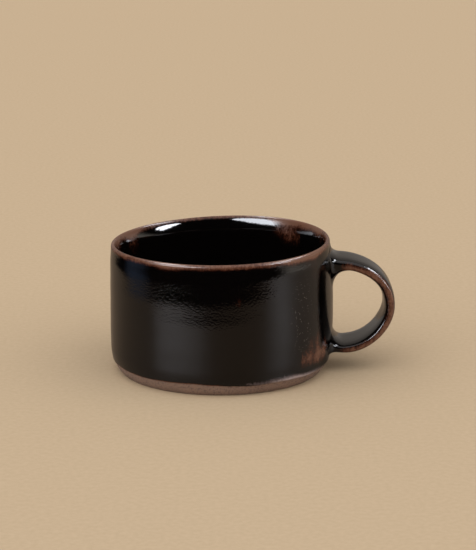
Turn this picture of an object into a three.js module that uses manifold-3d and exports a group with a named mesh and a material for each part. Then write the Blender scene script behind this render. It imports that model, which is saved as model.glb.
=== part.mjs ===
// A wide hand-thrown stoneware mug: a thrown clay body, a pulled strap handle luted to its side with slip,
// and a black iron glaze fired on in four coats. Units are millimetres and +Z is up. The origin is the
// centre of the foot, on the table, and the handle points along +X.

import * as THREE from 'three';
import { mergeVertices } from 'three/addons/utils/BufferGeometryUtils.js';
import Module from 'manifold-3d';

const wasm = await Module();
wasm.setup();

// Thrown body, bare clay
const HEIGHT = 66.6; // table to the crest of the glazed rim, on the axis
const RIM_RADIUS = 55.25; // outside, just under the lip
const BELLY_RADIUS = 56.35; // outside, at the widest
const BELLY_HEIGHT = 27;
const HEEL_RADIUS = 55.95; // outside, where the wall starts to turn in
const HEEL_HEIGHT = 12;
const HEEL_TAPER = 0.9; // how far the heel leans in below that
const HEEL_TURN = 3.3; // height of the corner that the heel's curve rounds off
const FOOT_RADIUS = 51.2; // edge of the flat that stands on the table
const LIP_THICKNESS = 2.7;
const WALL_THICKNESS = 5; // at the foot of the inside wall
const FLOOR_THICKNESS = 5.5; // at the middle
const FLOOR_DISH = 0.6; // the floor is this much lower at the middle than at its edge
const CORNER_HEIGHT = 13; // height of the curve from floor to inside wall
const CORNER_REACH = 15; // how far that curve runs in over the floor
const RIM_RISE = 2.5; // the rim stands this much higher at the handle than opposite it
const BELLY_LEAN = 0.68; // the wall's middle is this far off the foot's centre, towards the handle

// Pulled handle, bare clay
const HANDLE_WIDTH = 22.6; // at the upper root
const LOWER_SPREAD = 4.5; // the strap is this much wider where it is pressed on below
const SPREAD_POWER = 4; // how late along the strap it widens
const HANDLE_THICKNESS = 4;
const HANDLE_REACH = 28.9; // belly to the middle of the strap at its outermost
const OUTERMOST_HEIGHT = 32.9;
const UPPER_DROP = 10.85; // rim down to the middle of the upper root
const UPPER_RUN = 16.8; // pull of the upper stretch away from the wall
const UPPER_DIP = 1.5; // and down
const UPPER_TURN = 14.85; // pull of the bend above the outermost point
const LOWER_HEIGHT = 12.7; // table up to the middle of the lower root
const LOWER_RUN = 17.5; // pull of the lower stretch away from the wall
const LOWER_DIP = 4.5; // and down
const LOWER_TURN = 9.55; // pull of the bend below the outermost point
const UPPER_INNER_FLARE = 13; // radius that the upper root spreads onto the wall with, on the fingers' side
const UPPER_OUTER_FLARE = 5; // and on the outer side
const LOWER_INNER_FLARE = 7.6; // the same at the lower root
const LOWER_OUTER_FLARE = 4;
const SIDE_FLARE = 3.5; // the same at each edge of both roots
const SETTLE = 14; // length over which a root takes up the wall's curve
const SECTION_POWER = 3; // 2 gives an oval strap, more a squarer one

// Slip seams and glaze
const SLIP = 0.6; // thickness of a luting seam
const SEAM = 0.3; // clearance at each face of a seam, and round the roots
const GLAZE = 0.45;
const BOND = 0.02; // hairline between a coat and the clay of the body
const RIM_GLAZE = 0.2; // the glaze runs thin over the lip
const RIM_BAND = 1; // depth of the thin band below the lip's round
const THINNING = 6; // depth below the band over which the coats thin
const GLAZE_LINE = 5.9; // height where the outside glaze stops above the bare foot

// Fineness of the facets
const TURN_STEPS = 48; // around the body
const CURVE_STEPS = 4; // along each curve of a profile
const SECTION_STEPS = 20; // around the strap
const LOOP_STEPS = 16; // along the free strap
const ROOT_STEPS = 5; // along each root's flare
const MERGE = 1e-4; // points closer than this are one point

const clay = new THREE.MeshStandardMaterial({ color: '#7a6152', roughness: 0.85, metalness: 0 });
const slipClay = new THREE.MeshStandardMaterial({ color: '#6d5547', roughness: 0.9, metalness: 0 });
const blackGlaze = new THREE.MeshStandardMaterial({ color: '#0d0b0b', roughness: 0.12, metalness: 0 });
const brownGlaze = new THREE.MeshStandardMaterial({ color: '#69412f', roughness: 0.2, metalness: 0 });

// Closed surfaces

// A hand-thrown mug is not quite true: its wall bulges and its rim rises towards the handle
function leaned(geometry) {
  const position = geometry.getAttribute('position');
  for (let i = 0; i < position.count; i += 1) {
    const share = position.getZ(i) / HEIGHT;
    const rise = (RIM_RISE / 2) * (position.getX(i) / RIM_RADIUS) * share ** 2;
    position.setX(i, position.getX(i) + BELLY_LEAN * Math.sin(Math.PI * share));
    position.setZ(i, position.getZ(i) + rise);
  }
  return geometry;
}

// One skin of shared points, with no triangle that has shrunk to a line
function welded(geometry) {
  geometry.deleteAttribute('normal');
  geometry.deleteAttribute('uv');
  const merged = mergeVertices(geometry, MERGE);
  const corners = merged.index.array;
  const kept = [];
  for (let i = 0; i < corners.length; i += 3) {
    const [a, b, c] = corners.slice(i, i + 3);
    if (a !== b && b !== c && c !== a) {
      kept.push(a, b, c);
    }
  }
  merged.setIndex(kept);
  return merged;
}

// Turns a closed profile of (radius, height) points about the mug's axis
function turned(points) {
  const geometry = new THREE.LatheGeometry(points, TURN_STEPS);
  geometry.rotateX(Math.PI / 2);
  return welded(leaned(geometry));
}

function toSolid(geometry) {
  const vertProperties = new Float32Array(geometry.getAttribute('position').array);
  const triVerts = new Uint32Array(geometry.index.array);
  return new wasm.Manifold(new wasm.Mesh({ numProp: 3, vertProperties, triVerts }));
}

function toGeometry(solid) {
  const mesh = solid.getMesh();
  const geometry = new THREE.BufferGeometry();
  geometry.setAttribute('position', new THREE.BufferAttribute(mesh.vertProperties, mesh.numProp));
  geometry.setIndex(new THREE.BufferAttribute(mesh.triVerts, 1));
  return geometry;
}

// Profile of the clay, from the middle of the foot out, up, over the lip and down to the middle of the floor

const lipRadius = LIP_THICKNESS / 2;
const lipHeight = HEIGHT - RIM_GLAZE - lipRadius; // centre of the lip's round
const bandHeight = lipHeight - RIM_BAND;
const thinHeight = bandHeight - THINNING;
const rimInside = RIM_RADIUS - LIP_THICKNESS;
const wallInside = BELLY_RADIUS - WALL_THICKNESS;
const floorEdge = new THREE.Vector2(wallInside - CORNER_REACH, FLOOR_THICKNESS + FLOOR_DISH);
const cornerTop = floorEdge.y + CORNER_HEIGHT;

// Adds to a rising profile a point at each of the given heights
function markedAt(points, heights) {
  const marked = [...points];
  for (const height of heights) {
    const above = marked.findIndex((point) => point.y > height);
    const [from, to] = marked.slice(above - 1, above + 1);
    marked.splice(above, 0, from.clone().lerp(to, (height - from.y) / (to.y - from.y)));
  }
  return marked;
}

function outsideProfile() {
  const path = new THREE.Path();
  path.moveTo(FOOT_RADIUS, 0);
  path.quadraticCurveTo(HEEL_RADIUS - HEEL_TAPER, HEEL_TURN, HEEL_RADIUS, HEEL_HEIGHT);
  path.quadraticCurveTo(BELLY_RADIUS, (HEEL_HEIGHT + BELLY_HEIGHT) / 2, BELLY_RADIUS, BELLY_HEIGHT);
  path.quadraticCurveTo(BELLY_RADIUS, (BELLY_HEIGHT + lipHeight) / 2, RIM_RADIUS, lipHeight);
  return markedAt(path.getPoints(CURVE_STEPS), [GLAZE_LINE, thinHeight, bandHeight]);
}

function lipProfile() {
  const path = new THREE.Path();
  path.absarc(RIM_RADIUS - lipRadius, lipHeight, lipRadius, 0, Math.PI);
  return path.getPoints(CURVE_STEPS).slice(1, -1);
}

function insideProfile() {
  const path = new THREE.Path();
  path.moveTo(floorEdge.x, floorEdge.y);
  path.quadraticCurveTo(wallInside, floorEdge.y, wallInside, cornerTop);
  path.quadraticCurveTo(wallInside, (cornerTop + lipHeight) / 2, rimInside, lipHeight);
  return markedAt(path.getPoints(CURVE_STEPS), [thinHeight, bandHeight]);
}

const outside = outsideProfile();
const lip = lipProfile();
const inside = insideProfile().reverse();
const footMiddle = new THREE.Vector2(0, 0);
const floorMiddle = new THREE.Vector2(0, FLOOR_THICKNESS);
const profile = [footMiddle, ...outside, ...lip, ...inside, floorMiddle];

// Which way the clay's surface faces at each point of its profile
const facing = new Map();
profile.forEach((point, i) => {
  const before = profile[Math.max(i - 1, 0)];
  const after = profile[Math.min(i + 1, profile.length - 1)];
  const along = after.clone().sub(before).normalize();
  facing.set(point, new THREE.Vector2(along.y, -along.x));
});

// A point of the profile moved off the clay; one on the axis stays on it
function raised(point, distance) {
  const moved = point.clone().addScaledVector(facing.get(point), distance);
  return point.x > 0 ? moved : new THREE.Vector2(0, moved.y);
}

function glazeAt(point) {
  const below = THREE.MathUtils.clamp((bandHeight - point.y) / THINNING, 0, 1);
  return THREE.MathUtils.lerp(RIM_GLAZE, GLAZE, below);
}

// A coat of glaze over a run of the profile
function coat(run) {
  const skin = run.map((point) => raised(point, glazeAt(point)));
  const bonded = run.map((point) => raised(point, BOND));
  return turned([...skin, ...bonded.reverse(), skin[0]]);
}

// The mug's outside as a plug, grown by a clearance, to cut the handle's roots to the wall
function wallPlug(clearance) {
  const skin = outside.map((point) => raised(point, clearance));
  const bottom = new THREE.Vector2(0, skin[0].y);
  const top = new THREE.Vector2(0, skin.at(-1).y);
  return toSolid(turned([bottom, ...skin, top]));
}

// Loop of the handle, in the plane of the axis, as (distance from the axis, height)

function wallRadius(height) {
  const above = outside.findIndex((point) => point.y > height);
  if (above < 1) {
    return above < 0 ? RIM_RADIUS : FOOT_RADIUS;
  }
  const [from, to] = outside.slice(above - 1, above + 1);
  return THREE.MathUtils.mapLinear(height, from.y, to.y, from.x, to.x);
}

const upperHeight = HEIGHT - UPPER_DROP;
const upperRoot = new THREE.Vector2(wallRadius(upperHeight), upperHeight);
const lowerRoot = new THREE.Vector2(wallRadius(LOWER_HEIGHT), LOWER_HEIGHT);
const outermost = new THREE.Vector2(BELLY_RADIUS + HANDLE_REACH, OUTERMOST_HEIGHT);

function pulled(point, outwards, upwards) {
  return new THREE.Vector2(point.x + outwards, point.y + upwards);
}

const loop = new THREE.CurvePath();
loop.add(
  new THREE.CubicBezierCurve(
    upperRoot,
    pulled(upperRoot, UPPER_RUN, -UPPER_DIP),
    pulled(outermost, 0, UPPER_TURN),
    outermost,
  ),
);
loop.add(
  new THREE.CubicBezierCurve(
    outermost,
    pulled(outermost, 0, -LOWER_TURN),
    pulled(lowerRoot, LOWER_RUN, -LOWER_DIP),
    lowerRoot,
  ),
);
const loopLength = loop.getLength();
const rootDepth = WALL_THICKNESS / 2; // the uncut roots reach this far into the wall

// Distances from the wall where a root has a ring, from inside the wall to the end of the flare
function rootStations(flare) {
  const distances = [-rootDepth];
  for (let i = 0; i <= ROOT_STEPS; i += 1) {
    distances.push(flare * (1 - Math.cos(((i / ROOT_STEPS) * Math.PI) / 2)));
  }
  return distances;
}

// Distances along the loop where the strap has a ring, from the upper root to the lower one
function stations() {
  const upper = rootStations(UPPER_INNER_FLARE);
  const lower = rootStations(LOWER_INNER_FLARE).map((distance) => loopLength - distance);
  const free = [];
  for (let i = 1; i < LOOP_STEPS; i += 1) {
    free.push(THREE.MathUtils.lerp(upper.at(-1), lower.at(-1), i / LOOP_STEPS));
  }
  return [...upper, ...free, ...lower.reverse()];
}

// How far a root of this flare stands out at a distance from the wall: a quarter round
function flareAt(flare, distance) {
  const short = flare - THREE.MathUtils.clamp(distance, 0, flare);
  return flare - Math.sqrt(flare ** 2 - short ** 2);
}

function wallAt(across, height) {
  return Math.sqrt(Math.max(wallRadius(height) ** 2 - across ** 2, 0));
}

function rounded(share) {
  return Math.sign(share) * Math.abs(share) ** (2 / SECTION_POWER);
}

// One ring of the strap, with its surface raised by a coat or a clearance
function strapRing(distance, coating) {
  const fromWall = Math.min(distance, loopLength - distance);
  const share = THREE.MathUtils.clamp(distance / loopLength, 0, 1);
  const tangent = loop.getTangent(share);
  const centre = loop.getPoint(share).addScaledVector(tangent, distance - share * loopLength);
  const settled = (1 - THREE.MathUtils.clamp(fromWall / SETTLE, 0, 1)) ** 2;
  const isUpper = share < 0.5;
  const innerFlare = isUpper ? UPPER_INNER_FLARE : LOWER_INNER_FLARE;
  const outerFlare = isUpper ? UPPER_OUTER_FLARE : LOWER_OUTER_FLARE;
  const width = HANDLE_WIDTH + LOWER_SPREAD * share ** SPREAD_POWER;
  const halfWidth = width / 2 + flareAt(SIDE_FLARE, fromWall) + coating;
  const ring = [];
  for (let i = 0; i < SECTION_STEPS; i += 1) {
    const angle = (i / SECTION_STEPS) * 2 * Math.PI;
    const flare = Math.sin(angle) > 0 ? outerFlare : innerFlare;
    const halfThickness = HANDLE_THICKNESS / 2 + flareAt(flare, fromWall) + coating;
    const across = halfWidth * rounded(Math.cos(angle));
    const through = halfThickness * rounded(Math.sin(angle));
    const height = centre.y + tangent.x * through;
    const outwards = centre.x - tangent.y * through;
    const onWall = centre.x + wallAt(across, height) - wallAt(0, centre.y);
    ring.push(new THREE.Vector3(THREE.MathUtils.lerp(outwards, onWall, settled), across, height));
  }
  return ring;
}

// A closed strap through a run of rings
function strap(distances, coating) {
  const rings = distances.map((distance) => strapRing(distance, coating));
  const points = rings.flat();
  const corners = [];
  for (let r = 0; r + 1 < rings.length; r += 1) {
    for (let i = 0; i < SECTION_STEPS; i += 1) {
      const next = (i + 1) % SECTION_STEPS;
      const here = r * SECTION_STEPS;
      const there = here + SECTION_STEPS;
      corners.push(here + i, there + next, there + i, here + i, here + next, there + next);
    }
  }
  const last = points.length - SECTION_STEPS;
  for (let i = 1; i + 1 < SECTION_STEPS; i += 1) {
    corners.push(0, i + 1, i, last, last + i, last + i + 1);
  }
  const geometry = new THREE.BufferGeometry().setFromPoints(points);
  geometry.setIndex(corners);
  return toSolid(welded(leaned(geometry)));
}

// The pieces

const mug = new THREE.Group();

function addPiece(name, geometry, material) {
  geometry.computeVertexNormals();
  const mesh = new THREE.Mesh(geometry, material);
  mesh.name = name;
  mug.add(mesh);
}

const along = stations();
const rootRings = ROOT_STEPS + 2;
const bareStrap = strap(along, 0);
const glazedStrap = strap(along, GLAZE);
const slipFoot = wallPlug(SEAM);
const slipTop = wallPlug(SEAM + SLIP);
const handleFoot = wallPlug(SEAM + SLIP + SEAM);

function lutingSlip(distances) {
  return toGeometry(strap(distances, 0).intersect(slipTop).subtract(slipFoot));
}

const glazedOutside = outside.filter((point) => point.y >= GLAZE_LINE && point.y <= bandHeight);
const glazedInside = [...inside.filter((point) => point.y <= bandHeight), floorMiddle];
const rimRun = [...outside, ...lip, ...inside].filter((point) => point.y >= bandHeight);
const rootHoles = strap(along, GLAZE + SEAM);

addPiece('thrown_body', turned(profile), clay);
addPiece('pulled_handle', toGeometry(bareStrap.subtract(handleFoot)), clay);
addPiece('upper_luting_slip', lutingSlip(along.slice(0, rootRings)), slipClay);
addPiece('lower_luting_slip', lutingSlip(along.slice(-rootRings)), slipClay);
addPiece('inside_glaze', coat(glazedInside), blackGlaze);
addPiece('outside_glaze', toGeometry(toSolid(coat(glazedOutside)).subtract(rootHoles)), blackGlaze);
addPiece('rim_glaze', coat(rimRun), brownGlaze);
addPiece('handle_glaze', toGeometry(glazedStrap.subtract(bareStrap).subtract(slipFoot)), blackGlaze);

export default mug;
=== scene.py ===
# %% [markdown]
# This lesson dresses a wide stoneware mug. On the real thing a potter throws the body on a wheel, pulls
# a strap for the handle, joins the two with slip, and dips all but the foot in a black iron glaze.
# Where that glaze runs thin, at the rim and along the handle's edges, it breaks to rust brown. The
# imported model gives every piece its place, so the first cell loads it.

# %% Load the frame
import math

import bmesh
import bpy
from mathutils import Euler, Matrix, Quaternion, Vector, noise
from mathutils.geometry import interpolate_bezier


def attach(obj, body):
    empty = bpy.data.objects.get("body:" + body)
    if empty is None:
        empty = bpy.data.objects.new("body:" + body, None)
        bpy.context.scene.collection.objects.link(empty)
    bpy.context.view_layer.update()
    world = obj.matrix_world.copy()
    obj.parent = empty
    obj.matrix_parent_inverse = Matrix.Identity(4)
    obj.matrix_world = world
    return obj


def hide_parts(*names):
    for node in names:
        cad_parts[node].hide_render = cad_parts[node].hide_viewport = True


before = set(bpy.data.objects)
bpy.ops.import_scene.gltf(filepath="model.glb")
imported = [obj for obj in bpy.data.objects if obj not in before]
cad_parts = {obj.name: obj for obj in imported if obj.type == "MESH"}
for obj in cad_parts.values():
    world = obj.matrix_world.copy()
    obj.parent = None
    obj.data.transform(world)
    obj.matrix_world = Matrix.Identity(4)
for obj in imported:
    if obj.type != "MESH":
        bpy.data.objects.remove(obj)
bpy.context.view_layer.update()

bpy.ops.object.select_all(action="DESELECT")
MM = 0.001

# %% [markdown]
# A thrown pot is known by its profile, the line that a template would follow from the foot, up the
# wall, over the lip and down to the floor. It could be traced as a curve object, but plain points are
# easier to offset, and every coat of glaze is the same line moved off the clay. So the profile is a
# list of (radius, height) points in millimetres, with the solids' sizes and a finer lip: a crest near
# the outside and a slope down to the inner wall.

# %% Profile of the clay
HEIGHT = 66.6
RIM_RADIUS = 55.25
BELLY_RADIUS = 56.35
BELLY_HEIGHT = 27
HEEL_RADIUS = 55.95
HEEL_HEIGHT = 12
HEEL_CORNER = Vector((55.05, 3.3))
FOOT_RADIUS = 51.2
LIP_HEIGHT = 65.05
LIP_CREST = Vector((54.2, 66.4))
LIP_PULL = Vector((53.6, 66.4))
RIM_INSIDE = 52.55
WALL_INSIDE = 51.35
LIP_END = 60.5
LIP_END_PULL = 3.2
CORNER_TOP = 19.1
FLOOR_EDGE = Vector((36.35, 6.1))
FLOOR_MIDDLE = Vector((0, 5.5))


def bend(start, control, end, steps):
    """Points along one curve of the profile, without its last one."""
    points = []
    for step in range(steps):
        share = step / steps
        near = start.lerp(control, share)
        far = control.lerp(end, share)
        points.append(near.lerp(far, share))
    return points


foot = Vector((FOOT_RADIUS, 0))
heel = Vector((HEEL_RADIUS, HEEL_HEIGHT))
heel_pull = Vector((BELLY_RADIUS, (HEEL_HEIGHT + BELLY_HEIGHT) / 2))
belly = Vector((BELLY_RADIUS, BELLY_HEIGHT))
belly_pull = Vector((BELLY_RADIUS, (BELLY_HEIGHT + LIP_HEIGHT) / 2))
rim = Vector((RIM_RADIUS, LIP_HEIGHT))
rim_inside = Vector((RIM_INSIDE, LIP_HEIGHT))
wall_pull = Vector((WALL_INSIDE, (CORNER_TOP + LIP_HEIGHT) / 2))
corner_top = Vector((WALL_INSIDE, CORNER_TOP))
corner = Vector((WALL_INSIDE, FLOOR_EDGE.y))

outside = bend(foot, HEEL_CORNER, heel, 24)
outside += bend(heel, heel_pull, belly, 16)
outside += bend(belly, belly_pull, rim, 48)

lip = []
for step in range(9):
    angle = math.pi / 2 * step / 8
    reach = rim - LIP_CREST
    lip.append(LIP_CREST + Vector((reach.x * math.cos(angle), reach.y * (1 - math.sin(angle)))))

wall = bend(rim_inside, wall_pull, corner_top, 52)
lip_end = next(point for point in wall if point.y < LIP_END)
below_end = wall[wall.index(lip_end) + 1]
lip_end_pull = lip_end + (lip_end - below_end).normalized() * LIP_END_PULL
inside = interpolate_bezier(LIP_CREST, LIP_PULL, lip_end_pull, lip_end, 33)
inside += wall[wall.index(lip_end) + 1:]
inside += bend(corner_top, corner, FLOOR_EDGE, 24)
inside += bend(FLOOR_EDGE, (FLOOR_EDGE + FLOOR_MIDDLE) / 2, FLOOR_MIDDLE, 30)
inside += [FLOOR_MIDDLE]

profile = outside + lip + inside[1:]
print("clay profile:", len(profile), "points")

# %% [markdown]
# A lathe shape is made by spinning its profile. Here one point is extruded from place to place to draw
# the line, as by hand, and the spin operator then sweeps it round the mug's axis. The spin ends where
# it began, so doubled points are merged and the normals recalculated before anything else is done to
# the mesh.

# %% Spin a profile
TURN_STEPS = 240
MERGE = 0.002 * MM


def turned(name, line):
    """A closed skin made by spinning a line of (radius, height) points about the mug's axis."""
    bpy.ops.object.select_all(action="DESELECT")
    bpy.ops.mesh.primitive_plane_add(size=MM)
    piece = bpy.context.object
    piece.name = name
    piece.data.name = name
    bpy.ops.object.mode_set(mode="EDIT")
    bpy.ops.mesh.merge(type="CENTER")
    bpy.ops.transform.translate(value=(line[0].x * MM, 0, line[0].y * MM))
    for here, there in zip(line, line[1:]):
        move = (there - here) * MM
        bpy.ops.mesh.extrude_region_move(TRANSFORM_OT_translate={"value": (move.x, 0, move.y)})
    bpy.ops.mesh.select_all(action="SELECT")
    bpy.ops.mesh.spin(steps=TURN_STEPS, angle=2 * math.pi, center=(0, 0, 0), axis=(0, 0, 1))
    bpy.ops.mesh.select_all(action="SELECT")
    bpy.ops.mesh.remove_doubles(threshold=MERGE)
    bpy.ops.mesh.normals_make_consistent(inside=False)
    bpy.ops.object.mode_set(mode="OBJECT")
    return piece


# %% [markdown]
# A hand-thrown pot is never quite true. The potter's fingers leave a shallow spiral up the wall, the
# wall wanders by a few hundredths of a millimetre, the wall bulges and the rim rises a little towards
# the handle, and the rim is tipped and twisted by half a millimetre. A Displace modifier could not
# follow a spiral, so one function moves each point of the spun meshes in code. The marks are tiny, but
# a glossy black wall shows them in every reflection.

# %% Throwing marks and lean
RIM_RISE = 2.5
RIM_TIP = 0.5
RIM_TWIST = 0.8
BELLY_LEAN = 0.68
SPIRAL_PITCH = 11.5
SPIRAL_START = 38.5
SPIRAL_OUTSIDE = 0.022
SPIRAL_INSIDE = 0.05
WANDER = 0.035
WANDER_SIZE = 17
RIPPLE = 0.004
RIPPLE_SIZE = 5
WALL_MIDDLE = 53.9
MARKS_FADE_UP = (58, 65)
MARKS_FADE_IN = (20, 48)
SHARP_EDGE = math.radians(40)


def eased(value, low, high):
    """0 below low, 1 above high, with a soft start and end between them."""
    share = min(max((value - low) / (high - low), 0), 1)
    return share * share * (3 - 2 * share)


def throwing_mark(point):
    """How far the wall stands off its true radius at a point, in millimetres."""
    turn = math.atan2(point.y, point.x)
    depth = SPIRAL_OUTSIDE if math.hypot(point.x, point.y) > WALL_MIDDLE else SPIRAL_INSIDE
    flat = Vector((math.cos(turn), math.sin(turn), 0)) * BELLY_RADIUS + Vector((0, 0, point.z))
    spiral = depth * math.sin(2 * math.pi * (SPIRAL_START - point.z) / SPIRAL_PITCH + turn + math.pi / 2)
    wander = WANDER * noise.noise(flat / WANDER_SIZE)
    ripple = RIPPLE * noise.noise(flat / RIPPLE_SIZE)
    return (spiral + wander + ripple) * (1 - eased(point.z, *MARKS_FADE_UP))


def leaned(point):
    """Moves the wall off the foot's centre, and the rim up at the handle and a little out of true."""
    share = point.z / HEIGHT
    x = point.x / RIM_RADIUS
    y = point.y / RIM_RADIUS
    rise = ((RIM_RISE * x + RIM_TIP * y) / 2 + RIM_TWIST * x * y) * share**2
    return point + Vector((BELLY_LEAN * math.sin(math.pi * share), 0, rise))


def as_thrown(piece):
    """Gives a spun piece its throwing marks and its lean."""
    for vert in piece.data.vertices:
        point = vert.co / MM
        radius = math.hypot(point.x, point.y)
        if radius > 1e-6:
            mark = throwing_mark(point) * eased(radius, *MARKS_FADE_IN)
            point += Vector((point.x, point.y, 0)) / radius * mark
        vert.co = leaned(point) * MM
    piece.data.update()


def smooth(piece):
    """Shades a piece smooth, but for its sharp edges."""
    bpy.ops.object.select_all(action="DESELECT")
    piece.select_set(True)
    bpy.context.view_layer.objects.active = piece
    bpy.ops.object.shade_smooth_by_angle(angle=SHARP_EDGE)
    print(piece.name, len(piece.data.polygons), "faces")


# %% [markdown]
# The clay body is the thrown pot itself: wall, lip and floor in one piece. Only the foot band and the
# base stay bare after glazing, but the whole body is made, because the coats need something to lie on.

# %% Clay body
base = [Vector((FOOT_RADIUS * share, 0)) for share in (0, 0.2, 0.4, 0.6, 0.8, 0.96)]
clay_body = turned("clay_body", base + profile)
as_thrown(clay_body)
smooth(clay_body)

# %% [markdown]
# Each coat of glaze is a thin closed shell: the clay's line raised by the thickness of the glaze, and
# the same line back again just off the clay. The glaze is about half a millimetre thick on the wall and
# thins over the lip. Colour follows thickness, so every point also keeps its thickness in an attribute
# that the finish reads.

# %% How thick the glaze lies
GLAZE = 0.45
RIM_GLAZE = 0.2
BOND = 0.02
BAND_HEIGHT = 64.05
THINNING = 6
GLAZE_LINE = 5.9
EDGE_ROUND = 0.5


def glaze_at(height):
    """Thickness of the coat on the wall at a height."""
    below = eased(BAND_HEIGHT - height, 0, THINNING)
    return RIM_GLAZE + (GLAZE - RIM_GLAZE) * below


def raised(line, thickness):
    """A line moved off the clay, each point by its own thickness. A point on the axis stays on it."""
    moved = []
    for i, point in enumerate(line):
        before = line[max(i - 1, 0)]
        after = line[min(i + 1, len(line) - 1)]
        along = (after - before).normalized()
        there = point + Vector((along.y, -along.x)) * thickness[i]
        moved.append(there if point.x > 0 else Vector((0, there.y)))
    return moved


def point_at(side, height):
    """The point of a rising or falling line at a height."""
    for low, high in zip(side, side[1:]):
        if min(low.y, high.y) <= height <= max(low.y, high.y):
            return low.lerp(high, (height - low.y) / (high.y - low.y))
    return side[-1].copy()


def coat(name, line, thickness):
    """A closed shell of glaze over a line of the clay."""
    skin = raised(line, thickness)
    back = raised(line, [min(BOND, thick) for thick in thickness])
    if line[-1].x > 0:
        return turned(name, skin + back[::-1] + skin[:1])
    return turned(name, skin[::-1] + back)


# %% [markdown]
# The glaze's colour needs to know where it lies thin: over the lip, on the sharp edges of the handle,
# and in a few patches where the pot was held or the dip ran off. Each such patch is a soft dip in the
# thickness, or with a minus sign a soft swell that breaks up the others. The coat's own lower edge is
# thin too, where nothing pooled.

# %% Thin places
RIM_LOSS = 0.41
DRAINED = 3.2
EDGE_THIN = 0.62
POOL = 0.5
POOL_HEIGHT = 2.2
POOL_TURN = math.radians(-47)
POOL_EVEN = 0.12
POOL_RUN = 1.4
POOL_NARROW = 40
POOL_UNEVEN = 0.3
RIM_BREAK = (0.9, 4.4)
RIM_BREAK_INSIDE = 3
EDGE_BREAK = (0.2, 1)
PATCH_SQUASH = 0.6
THIN_PATCHES = (
    (Vector((40.8, -39.6, 14.5)), 3.5, 0.32),
    (Vector((44.5, -35.5, 13.5)), 3.5, 0.34),
    (Vector((48.5, -30.0, 14)), 3.8, 0.44),
    (Vector((52.0, -23.5, 15.5)), 4.6, 0.46),
    (Vector((44.5, -35.8, 22)), 2.8, 0.20),
    (Vector((47.8, -31.2, 24)), 3.2, 0.24),
    (Vector((50.2, -26.6, 20.8)), 2.4, -0.16),
    (Vector((8.0, -55.8, 50)), 2.4, 0.14),
    (Vector((8.6, -55.8, 46)), 2.4, 0.14),
    (Vector((46.0, -31.0, 62)), 9.0, 0.20),
    (Vector((36.0, -42.0, 64)), 7.0, 0.15),
    (Vector((-26.0, -48.5, 63.5)), 8.0, 0.14),
    (Vector((-46.0, 26.0, 65)), 7.5, 0.34),
    (Vector((-52.0, 6.0, 64.5)), 7.5, 0.27),
    (Vector((31.0, 42.0, 63)), 5.5, 0.30),
    (Vector((36.5, 37.0, 60.5)), 4.4, 0.28),
    (Vector((40.0, 32.5, 58.5)), 3.2, 0.20),
    (Vector((44.5, 28.5, 65)), 6.0, 0.22),
    (Vector((49.0, 17.0, 66)), 5.0, 0.16),
    (Vector((44.2, 27.2, 58.5)), 3.2, -0.15),
)


def pooled(turn):
    """How much glaze ran down to the edge on a side of the mug: most under the handle's near side."""
    ring = Vector((math.cos(turn), math.sin(turn), 0.4))
    towards = math.cos((turn - POOL_TURN) / 2) ** POOL_NARROW
    return max(POOL_EVEN + POOL_RUN * towards + POOL_UNEVEN * noise.noise(ring * 5), 0)


def thin_patches(point):
    """How much glaze the patches take away at a point. They are taller than wide."""
    loss = 0
    for centre, size, depth in THIN_PATCHES:
        apart = point - centre
        apart.z *= PATCH_SQUASH
        loss += depth * math.exp(-((apart.length / size) ** 2))
    return loss


def keep_thickness(piece, thickness_of):
    """Stores the glaze's thickness in millimetres at each point."""
    stored = piece.data.attributes.new("glaze_thickness", "FLOAT", "POINT")
    for vert, value in zip(piece.data.vertices, stored.data):
        value.value = thickness_of(vert.co / MM)


def outside_thickness(point):
    above = point.z - GLAZE_LINE
    turn = math.atan2(point.y, point.x)
    pool = POOL * pooled(turn) * math.exp(-((above / POOL_HEIGHT) ** 2))
    bare = 1 - eased(HEIGHT - point.z, *RIM_BREAK)
    edge = (1 - eased(above, *EDGE_BREAK)) * max(1 - 1.5 * pooled(turn), 0)
    return GLAZE + pool - RIM_LOSS * bare - EDGE_THIN * edge - thin_patches(point)


def inside_thickness(point):
    along = point.x / math.hypot(point.x, point.y, 0.001)
    bare = 1 - eased(HEIGHT - point.z, 0, RIM_BREAK_INSIDE + DRAINED * along**2)
    return GLAZE - RIM_LOSS * bare - thin_patches(point)


def rim_thickness(point):
    is_inside = math.hypot(point.x, point.y) < LIP_CREST.x
    return inside_thickness(point) if is_inside else outside_thickness(point)


print("thin places:", len(THIN_PATCHES))

# %% [markdown]
# The outside coat stops in a rounded, wavy edge above the bare foot, a little fatter where the glaze
# ran down and pooled. The edge could be left straight and only painted wavy, but then its highlight
# would be straight too, so the points near it are moved.

# %% Outside coat
EDGE_WAVE = 0.55
EDGE_REACH = 5
BEAD = 0.52
BEAD_HEIGHT = 0.65
SAG = 0.42
ROW = 0.9
ROWS = 60

heights = [GLAZE_LINE + rise for rise in (
    0, 0.02, 0.06, 0.13, 0.22, 0.34, 0.48, 0.62, 0.78, 0.96, 1.16, 1.4, 1.7, 2.1, 2.6, 3.2,
)]
heights += [heights[-1] + ROW * step for step in range(1, ROWS)]
heights += [BAND_HEIGHT - 0.5, BAND_HEIGHT - 0.25, BAND_HEIGHT]
outside_line = [point_at(outside + [rim], height) for height in heights]
thickness = []
for height in heights:
    share = min((height - GLAZE_LINE) / EDGE_ROUND, 1)
    thickness.append(max(glaze_at(height) * math.sqrt(1 - (1 - share) ** 2), BOND * 0.5))
outside_coat = coat("outside_glaze_coat", outside_line, thickness)
keep_thickness(outside_coat, outside_thickness)


def edge_wave(turn):
    """How far the coat's edge stands above its line on a side of the mug, as a share of EDGE_WAVE."""
    ring = Vector((math.cos(turn), math.sin(turn), 0))
    return noise.noise(ring * 2.2) + 0.5 * noise.noise(ring * 7) + 0.22 * noise.noise(ring * 30)


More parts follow.
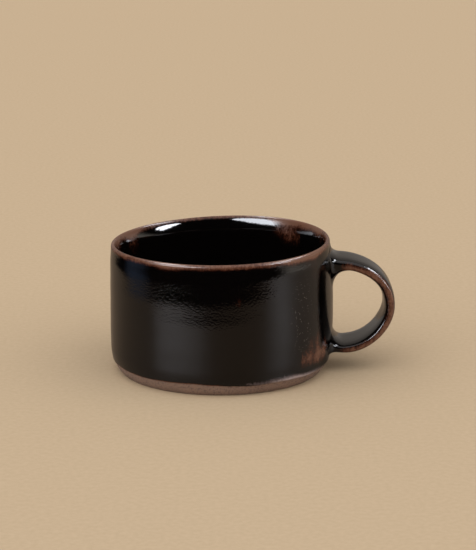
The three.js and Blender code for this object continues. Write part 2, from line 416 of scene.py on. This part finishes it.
for vert in outside_coat.data.vertices:
    point = vert.co / MM
    above = point.z - GLAZE_LINE
    if above < 2 * EDGE_REACH:
        turn = math.atan2(point.y, point.x)
        radius = math.hypot(point.x, point.y)
        on_skin = eased(radius - point_at(outside, point.z).x, 0.05, 0.3)
        rise = above / BEAD_HEIGHT
        bead = BEAD * pooled(turn) * max(rise, 0) * math.exp(1 - rise) * on_skin
        point += Vector((point.x, point.y, 0)) / radius * bead
        drop = SAG * pooled(turn) - EDGE_WAVE * edge_wave(turn)
        point.z -= drop * (1 - eased(above, 0, EDGE_REACH))
        vert.co = point * MM
as_thrown(outside_coat)
smooth(outside_coat)

# %% [markdown]
# The rim coat is the thin band over the lip, where the outside and inside coats meet.

# %% Rim coat
rim_line = [point_at(outside + [rim], BAND_HEIGHT + step) for step in (0, 0.25, 0.5, 0.75)]
rim_line += lip
rim_line += [point for point in inside[1:] if point.y > BAND_HEIGHT + 0.1]
rim_line += [point_at(inside, BAND_HEIGHT)]
rim_coat = coat("rim_glaze_coat", rim_line, [RIM_GLAZE] * len(rim_line))
keep_thickness(rim_coat, rim_thickness)
as_thrown(rim_coat)
smooth(rim_coat)

# %% [markdown]
# The inside coat was poured in and out again, so it covers the wall and the floor in one sheet.

# %% Inside coat
inside_line = [point_at(inside, BAND_HEIGHT - step) for step in (0, 0.25, 0.5)]
inside_line += [point for point in inside if point.y < BAND_HEIGHT - 0.6]
inside_coat = coat("inside_glaze_coat", inside_line, [glaze_at(point.y) for point in inside_line])
keep_thickness(inside_coat, inside_thickness)
as_thrown(inside_coat)
smooth(inside_coat)

# %% [markdown]
# The handle is a strap of clay, pulled wet between the fingers, bent into a loop and pressed onto the
# wall at both ends, where it spreads like a trumpet. Its middle line is two Bezier curves from the wall
# out and back. A curve with a bevel could carry the strap, but not the spread onto a round wall, so a
# ring of points is extruded along the loop and each new ring is put in its place.

# %% Loop of the handle
HANDLE_WIDTH = 22.6
LOWER_SPREAD = 4.5
SPREAD_POWER = 4
HANDLE_THICKNESS = 4
OUTERMOST = Vector((85.25, 32.9))
UPPER_HEIGHT = 55.75
LOWER_HEIGHT = 12.7
UPPER_PULL = Vector((16.8, -1.5))
OUTER_PULL_UP = Vector((0, 14.85))
OUTER_PULL_DOWN = Vector((0, -9.55))
LOWER_PULL = Vector((17.5, -4.5))
UPPER_FLARES = (13, 5)
LOWER_FLARES = (7.6, 4)
SIDE_FLARE = 3.5
SETTLE = 14
SECTION_POWER = 3
BLUNTNESS = 0.45
FULLNESS = 0.35
SINK = 0.03

upper_root = point_at(outside, UPPER_HEIGHT)
lower_root = point_at(outside, LOWER_HEIGHT)
loop = interpolate_bezier(upper_root, upper_root + UPPER_PULL, OUTERMOST + OUTER_PULL_UP, OUTERMOST, 300)
loop += interpolate_bezier(
    OUTERMOST, OUTERMOST + OUTER_PULL_DOWN, lower_root + LOWER_PULL, lower_root, 300
)[1:]
lengths = [0]
for here, there in zip(loop, loop[1:]):
    lengths.append(lengths[-1] + (there - here).length)
loop_length = lengths[-1]
print("handle loop:", round(loop_length, 1), "mm long")


def along_loop(distance):
    """The loop's middle point and direction at a distance from the upper root."""
    for i in range(1, len(loop)):
        if lengths[i] >= distance or i == len(loop) - 1:
            step = loop[i] - loop[i - 1]
            share = (distance - lengths[i - 1]) / (lengths[i] - lengths[i - 1])
            return loop[i - 1] + step * share, step.normalized()


# %% [markdown]
# Each ring is a rounded rectangle, a little fuller and blunter where the strap is free. Close to the
# wall it grows by a quarter round, and its points slide onto the wall's own curve, so the root runs
# into the glazed wall without a step.

# %% Rings of the handle
SECTION_STEPS = 72
ROOT_STEPS = 22
FREE_STEPS = 90
PULL_MARK = 0.05
ROOT_LENGTH = 12.55


def flare_at(flare, distance):
    """How far a root stands out at a distance from the wall: a quarter round."""
    short = flare - min(max(distance, 0), flare)
    return flare - math.sqrt(flare**2 - short**2)


def glazed_wall(across, height):
    """How far out the glazed wall is at a height, this far to the side of the handle's middle."""
    radius = point_at(outside + [rim], height).x + GLAZE
    return math.sqrt(radius**2 - across**2)


def rounded(share, power=SECTION_POWER):
    """Turns a sine or cosine into the same for a rounded rectangle."""
    return math.copysign(abs(share) ** (2 / power), share)


def strap_point(distance, angle):
    """A point of the glazed strap, at a distance along it and an angle round it."""
    middle, along = along_loop(distance)
    share = distance / loop_length
    from_wall = max(min(distance, loop_length - distance) - GLAZE + SINK, 0)
    settled = (1 - min(from_wall / SETTLE, 1)) ** 2
    flares = UPPER_FLARES if share < 0.5 else LOWER_FLARES
    flare = flares[1] if math.sin(angle) > 0 else flares[0]
    half_width = (HANDLE_WIDTH + LOWER_SPREAD * share**SPREAD_POWER) / 2 + GLAZE
    half_width += flare_at(SIDE_FLARE - GLAZE, from_wall)
    half_thick = HANDLE_THICKNESS / 2 + GLAZE + flare_at(flare - GLAZE, from_wall)
    half_thick += FULLNESS * eased(from_wall, 1, 9)
    mark = PULL_MARK * noise.noise(Vector((math.cos(angle) * 4, math.sin(angle) * 4, distance / 30)))
    mark *= eased(from_wall, 2, 12)
    power = SECTION_POWER + BLUNTNESS * eased(from_wall, 3, 13)
    across = (half_width + mark) * rounded(math.cos(angle), power)
    through = (half_thick + mark) * rounded(math.sin(angle), power)
    height = middle.y + along.x * through
    outwards = middle.x - along.y * through
    on_wall = middle.x + glazed_wall(across, height) - glazed_wall(0, middle.y)
    point = Vector((outwards + (on_wall - outwards) * settled, across, height))
    radius = math.hypot(point.x, point.y)
    near = 1 - eased(from_wall, 0, 6)
    point += Vector((point.x, point.y, 0)) / radius * throwing_mark(point) * near
    return point


root = []
for step in range(ROOT_STEPS + 1):
    root.append(GLAZE - SINK + ROOT_LENGTH * (1 - math.cos(math.pi / 2 * step / ROOT_STEPS)))
free_length = loop_length - 2 * root[-1]
stations = root[:]
stations += [root[-1] + free_length * step / FREE_STEPS for step in range(1, FREE_STEPS)]
stations += [loop_length - distance for distance in reversed(root)]
print("handle rings:", len(stations))

# %% [markdown]
# The ring's points remember their angle round the strap, because an extrude copies a point's
# attributes. So each new ring can be placed from its own angles, whatever order the points come in.

# %% Handle coat
bpy.ops.object.select_all(action="DESELECT")
bpy.ops.mesh.primitive_circle_add(vertices=SECTION_STEPS, radius=10 * MM, fill_type="NOTHING")
handle_coat = bpy.context.object
handle_coat.name = "handle_glaze_coat"
handle_coat.data.name = "handle_glaze_coat"
handle_coat.data.attributes.new("angle", "FLOAT", "POINT")
handle_coat.data.attributes.new("distance", "FLOAT", "POINT")
for i, vert in enumerate(handle_coat.data.vertices):
    handle_coat.data.attributes["angle"].data[i].value = math.atan2(vert.co.y, vert.co.x)
bpy.ops.object.mode_set(mode="EDIT")
bpy.ops.mesh.select_all(action="SELECT")
for distance in stations:
    if distance != stations[0]:
        bpy.ops.mesh.extrude_region()
    mesh = bmesh.from_edit_mesh(handle_coat.data)
    angles = mesh.verts.layers.float["angle"]
    distances = mesh.verts.layers.float["distance"]
    for vert in mesh.verts:
        if vert.select:
            vert[distances] = distance
            vert.co = strap_point(distance, vert[angles]) * MM
    bmesh.update_edit_mesh(handle_coat.data)
bpy.ops.mesh.select_all(action="SELECT")
bpy.ops.mesh.normals_make_consistent(inside=False)
bpy.ops.object.mode_set(mode="OBJECT")
print("handle skin:", len(handle_coat.data.polygons), "faces")

# %% [markdown]
# Glaze runs off a sharp edge and gathers on the flats, so it lies thinnest round the strap's two edges.
# The skin then gets the coat's thickness with a Solidify modifier, inwards, so that its outside stays
# where it is.

# %% Handle thickness
EDGE_LOSS = 0.43
EDGE_SHARE = (0.74, 0.94)
EDGE_SHIFT = 0.35


def strap_thickness(angle, distance):
    """Thickness of the coat on the strap. The thin line moves from its inner to its outer corner."""
    from_wall = min(distance, loop_length - distance)
    middle = EDGE_SHIFT * (2 * eased(distance / loop_length, 0.15, 0.4) - 1)
    edge = eased(abs(rounded(math.cos(angle))), *EDGE_SHARE)
    edge *= math.exp(-((rounded(math.sin(angle)) - middle) ** 2))
    return GLAZE - EDGE_LOSS * edge * eased(from_wall, 1, 9)


stored = handle_coat.data.attributes.new("glaze_thickness", "FLOAT", "POINT")
angles = handle_coat.data.attributes["angle"].data
distances = handle_coat.data.attributes["distance"].data
for i, vert in enumerate(handle_coat.data.vertices):
    thick = strap_thickness(angles[i].value, distances[i].value)
    stored.data[i].value = thick - thin_patches(vert.co / MM)
    vert.co = leaned(vert.co / MM) * MM
shell = handle_coat.modifiers.new("coat", "SOLIDIFY")
shell.thickness = (GLAZE - BOND) * MM
shell.offset = -1
bpy.context.view_layer.objects.active = handle_coat
bpy.ops.object.modifier_apply(modifier=shell.name)
smooth(handle_coat)

# %% [markdown]
# Every material starts from colours written as sRGB hex values, the way a paint chart gives them.
# Blender's sockets want linear light, so one function converts them. Another adds a node with its
# settings and links.

# %% Colour and node helpers


def linear(hex_colour):
    """An sRGB hex colour as linear light with alpha."""
    channels = []
    for i in (1, 3, 5):
        value = int(hex_colour[i:i + 2], 16) / 255
        channels.append(value / 12.92 if value <= 0.04045 else ((value + 0.055) / 1.055) ** 2.4)
    return (*channels, 1)


def add_node(tree, kind, settings=None, inputs=None):
    """Adds a node. An input is a constant, or the output socket that feeds it."""
    node = tree.nodes.new(kind)
    for name, value in (settings or {}).items():
        setattr(node, name, value)
    for name, value in (inputs or {}).items():
        if isinstance(value, bpy.types.NodeSocket):
            tree.links.new(value, node.inputs[name])
        else:
            node.inputs[name].default_value = value
    return node


def new_material(name):
    material = bpy.data.materials.new(name)
    material.use_nodes = True
    return material, material.node_tree, material.node_tree.nodes["Principled BSDF"]


def colour_stops(ramp_node, stops):
    """Sets a colour ramp's stops from (place, hex colour) pairs."""
    elements = ramp_node.color_ramp.elements
    while len(elements) < len(stops):
        elements.new(0.5)
    for element, (place, colour) in zip(elements, stops):
        element.position = place
        element.color = linear(colour)


# %% [markdown]
# The bare clay is an iron-rich stoneware, fired to a dull brown and turned smooth at the foot with a
# metal tool. It is matt, with soft clouds of lighter and darker clay and fine grog in it.

# %% Bare stoneware
stoneware, tree, shader = new_material("iron_stoneware_turned")
place = add_node(tree, "ShaderNodeTexCoord").outputs["Object"]
cloud = add_node(tree, "ShaderNodeTexNoise", inputs={"Vector": place, "Scale": 1 / (9 * MM), "Detail": 4})
grog = add_node(tree, "ShaderNodeTexNoise", inputs={"Vector": place, "Scale": 1 / (0.9 * MM), "Detail": 3})
tint = add_node(tree, "ShaderNodeValToRGB", inputs={"Fac": cloud.outputs["Fac"]})
colour_stops(tint, ((0.3, "#8c7468"), (0.7, "#7f695d")))
grain = add_node(tree, "ShaderNodeValToRGB", inputs={"Fac": grog.outputs["Fac"]})
colour_stops(grain, ((0.36, "#9c8f88"), (0.5, "#ffffff"), (0.68, "#fff4ea")))
mixed = add_node(
    tree, "ShaderNodeMix", {"data_type": "RGBA", "blend_type": "MULTIPLY"},
    {"Factor": 0.6, "A": tint.outputs["Color"], "B": grain.outputs["Color"]},
)
tree.links.new(mixed.outputs["Result"], shader.inputs["Base Color"])
bump = add_node(
    tree, "ShaderNodeBump", inputs={"Height": grog.outputs["Fac"], "Distance": 0.05 * MM, "Strength": 1}
)
tree.links.new(bump.outputs["Normal"], shader.inputs["Normal"])
shader.inputs["Roughness"].default_value = 0.78
shader.inputs["IOR"].default_value = 1.5
print(stoneware.name, len(tree.nodes), "nodes")

# %% [markdown]
# Luting slip is the same clay, watered down to a paste. It sits unseen between the handle's roots and
# the wall.

# %% Slip
slip, tree, shader = new_material("luting_slip_fired")
place = add_node(tree, "ShaderNodeTexCoord").outputs["Object"]
cloud = add_node(tree, "ShaderNodeTexNoise", inputs={"Vector": place, "Scale": 1 / (3 * MM), "Detail": 4})
tint = add_node(tree, "ShaderNodeValToRGB", inputs={"Fac": cloud.outputs["Fac"]})
colour_stops(tint, ((0.3, "#6d5547"), (0.7, "#7b6252")))
tree.links.new(tint.outputs["Color"], shader.inputs["Base Color"])
shader.inputs["Roughness"].default_value = 0.9
print(slip.name, len(tree.nodes), "nodes")

# %% [markdown]
# The glaze is an iron-saturated black, melted to a glass about half a millimetre deep. Thick, it is
# black with hardly any warmth. As it thins the iron shows through as maroon and then rust, in drips and
# teeth rather than a clean line. So the stored thickness is shaken by three noises before a ramp turns
# it into colour. Where it pooled thickest at its lower edge the ramp turns it a pale lavender grey,
# partly a milky glaze and partly a painted sheen and highlight along the roll. On the side near the
# handle pale pin specks are painted in, each about as wide as a grain of salt: painted glints, where
# tiny pits in the glaze would catch the light from the right. The surface has the faint orange peel of
# a melted glass, which breaks the edges of reflections into fine grain. The inside, poured rather than
# dipped, lies smoother.

# %% Black iron glaze
RUNS = (1, 1, 0.55)
TEETH = 1.1
DRIPS = 7
SPECKS = 0.6
PEEL = 0.95
PEEL_DEPTH = 0.055
GLINTS_CENTRE = (47, -47, 36)
GLINTS_REACH = (15, 15, 45)
GLINT_SPACING = 1.15
GLINT_SIZE = 0.15
glaze, tree, shader = new_material("black_iron_glaze_melted")
place = add_node(tree, "ShaderNodeTexCoord").outputs["Object"]
runs = add_node(tree, "ShaderNodeMapping", inputs={"Vector": place, "Scale": RUNS}).outputs["Vector"]
shaken = add_node(tree, "ShaderNodeAttribute", {"attribute_name": "glaze_thickness"}).outputs["Fac"]
for where, size, detail, strength in (
    (runs, TEETH, 4, 0.32),
    (runs, DRIPS, 3, 0.16),
    (place, SPECKS, 2, 0.20),
):
    pattern = add_node(
        tree, "ShaderNodeTexNoise", inputs={"Vector": where, "Scale": 1 / (size * MM), "Detail": detail}
    )
    shaken = add_node(
        tree, "ShaderNodeMath", {"operation": "MULTIPLY_ADD"},
        {0: pattern.outputs["Fac"], 1: strength, 2: shaken},
    ).outputs["Value"]
depth = add_node(tree, "ShaderNodeMapRange", inputs={"Value": shaken, "From Min": 0.33, "From Max": 1.33})
colour = add_node(tree, "ShaderNodeValToRGB", inputs={"Fac": depth.outputs["Result"]})
# The two palest stops colour the glaze where it pooled thickest at its lower edge: partly a milky glaze,
# partly a painted sheen and highlight along the roll.
colour_stops(colour, (
    (0.0, "#714f3f"), (0.08, "#573629"), (0.15, "#3c2015"), (0.22, "#1e0d08"), (0.28, "#060404"),
    (0.6, "#050404"), (0.8, "#5a5052"), (1.0, "#918486"),
))
# Painted glints: pale pin specks in the base colour, only on the wall's right near the handle, where tiny
# pits in the glaze would catch the right-hand light.
glint_cells = add_node(tree, "ShaderNodeTexVoronoi", inputs={"Vector": place, "Scale": 1 / (GLINT_SPACING * MM)})
glint_place = add_node(tree, "ShaderNodeMapping", inputs={
    "Vector": place,
    "Location": [-middle / reach for middle, reach in zip(GLINTS_CENTRE, GLINTS_REACH)],
    "Scale": [1 / (reach * MM) for reach in GLINTS_REACH],
}).outputs["Vector"]
glint_patch = add_node(tree, "ShaderNodeTexGradient", {"gradient_type": "SPHERICAL"}, {"Vector": glint_place})
glint_size = add_node(
    tree, "ShaderNodeMapRange",
    inputs={"Value": glint_patch.outputs["Fac"], "From Max": 0.3, "To Max": GLINT_SIZE / GLINT_SPACING},
)
painted_glint = add_node(
    tree, "ShaderNodeMath", {"operation": "LESS_THAN"},
    {0: glint_cells.outputs["Distance"], 1: glint_size.outputs["Result"]},
)
# The painted glints are mixed into the glaze's colour.
with_painted_glints = add_node(
    tree, "ShaderNodeMix", {"data_type": "RGBA"},
    {"Factor": painted_glint.outputs["Value"], "A": colour.outputs["Color"], "B": linear("#8a837b")},
)
tree.links.new(with_painted_glints.outputs["Result"], shader.inputs["Base Color"])
gloss = add_node(tree, "ShaderNodeMapRange", inputs={
    "Value": depth.outputs["Result"], "From Min": 0.08, "From Max": 0.24, "To Min": 0.24, "To Max": 0.05,
})
tree.links.new(gloss.outputs["Result"], shader.inputs["Roughness"])
peel = add_node(tree, "ShaderNodeTexNoise", inputs={"Vector": place, "Scale": 1 / (PEEL * MM), "Detail": 2})
flat = add_node(tree, "ShaderNodeMapping", inputs={"Vector": place, "Scale": (1, 1, 0)}).outputs["Vector"]
radius = add_node(tree, "ShaderNodeVectorMath", {"operation": "LENGTH"}, {0: flat}).outputs["Value"]
dipped = add_node(
    tree, "ShaderNodeMapRange",
    inputs={"Value": radius, "From Min": 53.5 * MM, "From Max": 55 * MM, "To Min": 0.25, "To Max": 1},
)
bump = add_node(
    tree, "ShaderNodeBump",
    inputs={
        "Height": peel.outputs["Fac"], "Distance": PEEL_DEPTH * MM, "Strength": dipped.outputs["Result"],
    },
)
tree.links.new(bump.outputs["Normal"], shader.inputs["Normal"])
shader.inputs["IOR"].default_value = 1.5
print(glaze.name, len(tree.nodes), "nodes")

# %% [markdown]
# Each finished piece rides on the part's one body, stands for its solid and takes its finish. The clay
# handle and the slip seams are right as they are, hidden under the glaze, so those solids stay and only
# get a finish.

# %% Put the pieces together
dressed = (
    (clay_body, stoneware, "stoneware_clay", ("thrown_body",)),
    (outside_coat, glaze, "black_iron_glaze", ("outside_glaze",)),
    (rim_coat, glaze, "brown_iron_glaze", ("rim_glaze",)),
    (inside_coat, glaze, "black_iron_glaze", ("inside_glaze",)),
    (handle_coat, glaze, "black_iron_glaze", ("handle_glaze",)),
)
for piece, finish, slot_name, solids in dressed:
    piece.data.materials.clear()
    piece.data.materials.append(finish)
    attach(piece, "root")
    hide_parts(*solids)
hidden = (("pulled_handle", stoneware), ("upper_luting_slip", slip), ("lower_luting_slip", slip))
for name, finish in hidden:
    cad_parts[name].data.materials.clear()
    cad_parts[name].data.materials.append(finish)

# %% [markdown]
# A black glossy pot is lit by what it reflects. The floor is plain and pale. The wall mirrors the floor
# in front of it and the dark room beyond the table's edge, so reflections get a table of limited size
# with edges that fade out, while the camera sees a floor without end. Pale cards behind and to the
# right stand for the walls that the handle mirrors, and a faint cool one to the left, fading out at its
# edges, for a far window. The floor's paper has a tooth too fine to show, so it is drawn coarser.

# %% Floor and cards
floor_paint, tree, shader = new_material("pale_paper")
place = add_node(tree, "ShaderNodeTexCoord").outputs["Object"]
tooth = add_node(tree, "ShaderNodeTexNoise", inputs={"Vector": place, "Scale": 1 / (2.5 * MM), "Detail": 3})
tint = add_node(tree, "ShaderNodeValToRGB", inputs={"Fac": tooth.outputs["Fac"]})
colour_stops(tint, ((0.3, "#bdac94"), (0.7, "#c3b29a")))
tree.links.new(tint.outputs["Color"], shader.inputs["Base Color"])
shader.inputs["Roughness"].default_value = 0.9
shader.inputs["Specular IOR Level"].default_value = 0

table_paint, tree, shader = new_material("table_sheen")
shader.inputs["Base Color"].default_value = linear("#8c7a66")
shader.inputs["Roughness"].default_value = 0.5
shader.inputs["Specular IOR Level"].default_value = 0.22
cover = add_node(tree, "ShaderNodeAttribute", {"attribute_name": "cover"}).outputs["Fac"]
tree.links.new(cover, shader.inputs["Alpha"])


def flat_card(name, width, depth, place, turn, material):
    """A flat sheet of the stage, in metres."""
    bpy.ops.object.select_all(action="DESELECT")
    bpy.ops.mesh.primitive_plane_add(size=1, location=place, rotation=turn)
    card = bpy.context.object
    card.name = name
    card.scale = (width, depth, 1)
    bpy.ops.object.transform_apply(location=False, rotation=False, scale=True)
    card.data.materials.append(material)
    return card


def glowing(name, colour, strength):
    """A finish that shines evenly and mirrors nothing."""
    material, tree, shader = new_material(name)
    shader.inputs["Base Color"].default_value = (0, 0, 0, 1)
    shader.inputs["Emission Color"].default_value = linear(colour)
    shader.inputs["Emission Strength"].default_value = strength
    shader.inputs["Specular IOR Level"].default_value = 0
    return material


def fading(name, colour, strength, reach, full):
    """A glow that is gone at its reach and at full strength from the given share of the way in."""
    material = glowing(name, colour, strength)
    tree = material.node_tree
    place = add_node(tree, "ShaderNodeTexCoord").outputs["Object"]
    scaled = add_node(
        tree, "ShaderNodeMapping", inputs={"Vector": place, "Scale": (1 / reach[0], 1 / reach[1], 1)}
    ).outputs["Vector"]
    fade = add_node(tree, "ShaderNodeTexGradient", {"gradient_type": "SPHERICAL"}, {"Vector": scaled})
    level = add_node(
        tree, "ShaderNodeMapRange", {"interpolation_type": "SMOOTHSTEP"},
        {"Value": fade.outputs["Fac"], "From Max": full, "To Max": strength},
    ).outputs["Result"]
    tree.links.new(level, tree.nodes["Principled BSDF"].inputs["Emission Strength"])
    return material


def only_mirrored(card):
    """Leaves a card to be seen in reflections alone."""
    card.visible_camera = False
    card.visible_diffuse = False
    card.visible_shadow = False
    card.visible_transmission = False
    card.visible_volume_scatter = False


floor = flat_card("floor", 30, 30, (0, 0, 0), (0, 0, 0), floor_paint)
floor.visible_glossy = False
table = flat_card("table", 3.275, 1.63, (1.3625, -0.115, 0.0003), (0, 0, 0), table_paint)
TABLE_FADE = 40
TABLE_CUTS = (((-274, -70), (-204, -182)), ((-200, -187), (-163, -217)), ((-154, -221), (222, -305)))
bpy.ops.object.mode_set(mode="EDIT")
for here, there in TABLE_CUTS:
    run = (Vector(there) - Vector(here)) * MM
    corner_at = (Vector(here) * MM).to_3d() - table.location
    bpy.ops.mesh.select_all(action="SELECT")
    bpy.ops.mesh.bisect(
        plane_co=table.matrix_world @ corner_at, plane_no=(run.y, -run.x, 0), clear_outer=True
    )
bpy.ops.mesh.select_all(action="SELECT")
bpy.ops.mesh.inset(thickness=TABLE_FADE * MM, depth=0)
mesh = bmesh.from_edit_mesh(table.data)
on_edge = [vert.is_boundary for vert in mesh.verts]
bpy.ops.object.mode_set(mode="OBJECT")
stored = table.data.attributes.new("cover", "FLOAT", "POINT")
for value, is_edge in zip(stored.data, on_edge):
    value.value = 0 if is_edge else 1
only_mirrored(table)
behind = flat_card(
    "wall_behind", 2.4, 1.2, (0, 0.6, 0.6), (math.pi / 2, 0, 0), glowing("pale_wall", "#cdc2b8", 0.53)
)
only_mirrored(behind)
cool = flat_card(
    "cool_room", 0.7, 0.3, (-0.75, 0.06, -0.085), (math.pi / 2, 0, math.pi / 2),
    fading("cool_dusk", "#8fa4c8", 0.45, (0.33, 0.14), 0.8),
)
only_mirrored(cool)
right_wall = flat_card(
    "wall_right", 2.4, 0.8, (1.1, 0.5, -0.05), (math.pi / 2, 0, -math.pi / 2),
    fading("right_wall", "#c4bbb0", 1.9, (1.2, 0.38), 0.3),
)
only_mirrored(right_wall)
print("stage:", [card.name for card in (floor, table, behind, cool, right_wall)])

# %% [markdown]
# Two low windows light the mug: one in front to the left, one to the right. Both show as crisp
# highlights inside the rim. Two lamps higher up draw the thin lines of light along the lip and the
# handle's edge. Two large soft lights, which reflections leave out, fill the shadows from both sides.

# %% Lights
LIGHTS_APART = 2
AIM = Vector((0, 0, 0.04))


def soft_box(name, turn, rise, roll, width, height, radiance):
    """An area light aimed at the mug, turned from the camera's side about the mug's axis."""
    turn = math.radians(turn)
    rise = math.radians(rise)
    out = Vector((math.sin(turn) * math.cos(rise), -math.cos(turn) * math.cos(rise), math.sin(rise)))
    data = bpy.data.lights.new(name, "AREA")
    data.shape = "ELLIPSE"
    data.size = width
    data.size_y = height
    data.energy = radiance * math.pi * (math.pi / 4 * width * height)
    data.color = linear("#f4f7ff")[:3]
    light = bpy.data.objects.new(name, data)
    bpy.context.scene.collection.objects.link(light)
    light.location = AIM + out * LIGHTS_APART
    light.rotation_mode = "QUATERNION"
    facing = (-out).to_track_quat("-Z", "Y")
    light.rotation_quaternion = facing @ Quaternion((0, 0, 1), math.radians(roll))
    light.visible_camera = False
    light.visible_diffuse = False


soft_box("window_left", -44, 20.5, 14, 2.04, 0.53, 19)
soft_box("window_right", 63.5, 19.2, -16, 1.1, 0.25, 33)
soft_box("lamp_left", -85, 57, 0, 1.1, 0.6, 20)
soft_box("lamp_right", 95, 46, 0, 1.7, 0.5, 16)

for name, strength, turn in (("sky_left", 1.02, -50), ("sky_right", 0.72, 55)):
    sky = bpy.data.lights.new(name, "SUN")
    sky.energy = strength
    sky.angle = math.radians(70)
    sky.color = linear("#fffaf2")[:3]
    above = bpy.data.objects.new(name, sky)
    bpy.context.scene.collection.objects.link(above)
    above.rotation_euler = (math.radians(42), 0, math.radians(turn))
    above.visible_glossy = False

world = bpy.data.worlds.new("room")
bpy.context.scene.world = world
world.use_nodes = True
tree = world.node_tree
tree.nodes.clear()
path = add_node(tree, "ShaderNodeLightPath")
room = add_node(tree, "ShaderNodeBackground", inputs={"Color": linear("#d8cec4"), "Strength": 1.02})
direction = add_node(tree, "ShaderNodeTexCoord").outputs["Generated"]
height = add_node(tree, "ShaderNodeSeparateXYZ", inputs={"Vector": direction}).outputs["Z"]
ceiling = add_node(tree, "ShaderNodeMapRange", inputs={"Value": height, "From Min": 0.45, "From Max": 0.7})
shade = add_node(tree, "ShaderNodeValToRGB", inputs={"Fac": ceiling.outputs["Result"]})
colour_stops(shade, ((0, "#090a0c"), (1, "#ccc8c8")))
dark = add_node(tree, "ShaderNodeBackground", inputs={"Color": shade.outputs["Color"], "Strength": 1.5})
split = add_node(tree, "ShaderNodeMixShader", inputs={0: path.outputs["Is Glossy Ray"]})
tree.links.new(room.outputs[0], split.inputs[1])
tree.links.new(dark.outputs[0], split.inputs[2])
add_node(tree, "ShaderNodeOutputWorld", inputs={"Surface": split.outputs[0]})
bpy.context.scene.view_settings.view_transform = "Standard"

# %% [markdown]
# The camera stands about a metre away and looks down at fourteen degrees, through a long lens.

# %% Camera
LENS_PIXELS = 2000
FRAME_PIXELS = 550
YAW = 0.0088
PITCH = 0.2465
ROLL = -0.0011
camera = bpy.data.objects.new("camera", bpy.data.cameras.new("camera"))
bpy.context.scene.collection.objects.link(camera)
camera.data.sensor_width = 36
camera.data.lens = LENS_PIXELS / FRAME_PIXELS * 36
camera.location = Vector((0.29, -987.23, 296.34)) * MM
look = Euler((math.pi / 2 - PITCH, 0, -YAW)).to_matrix()
camera.rotation_euler = (look @ Euler((0, 0, ROLL)).to_matrix()).to_euler()
bpy.context.scene.camera = camera
print("camera in mm:", [round(side / MM) for side in camera.location])
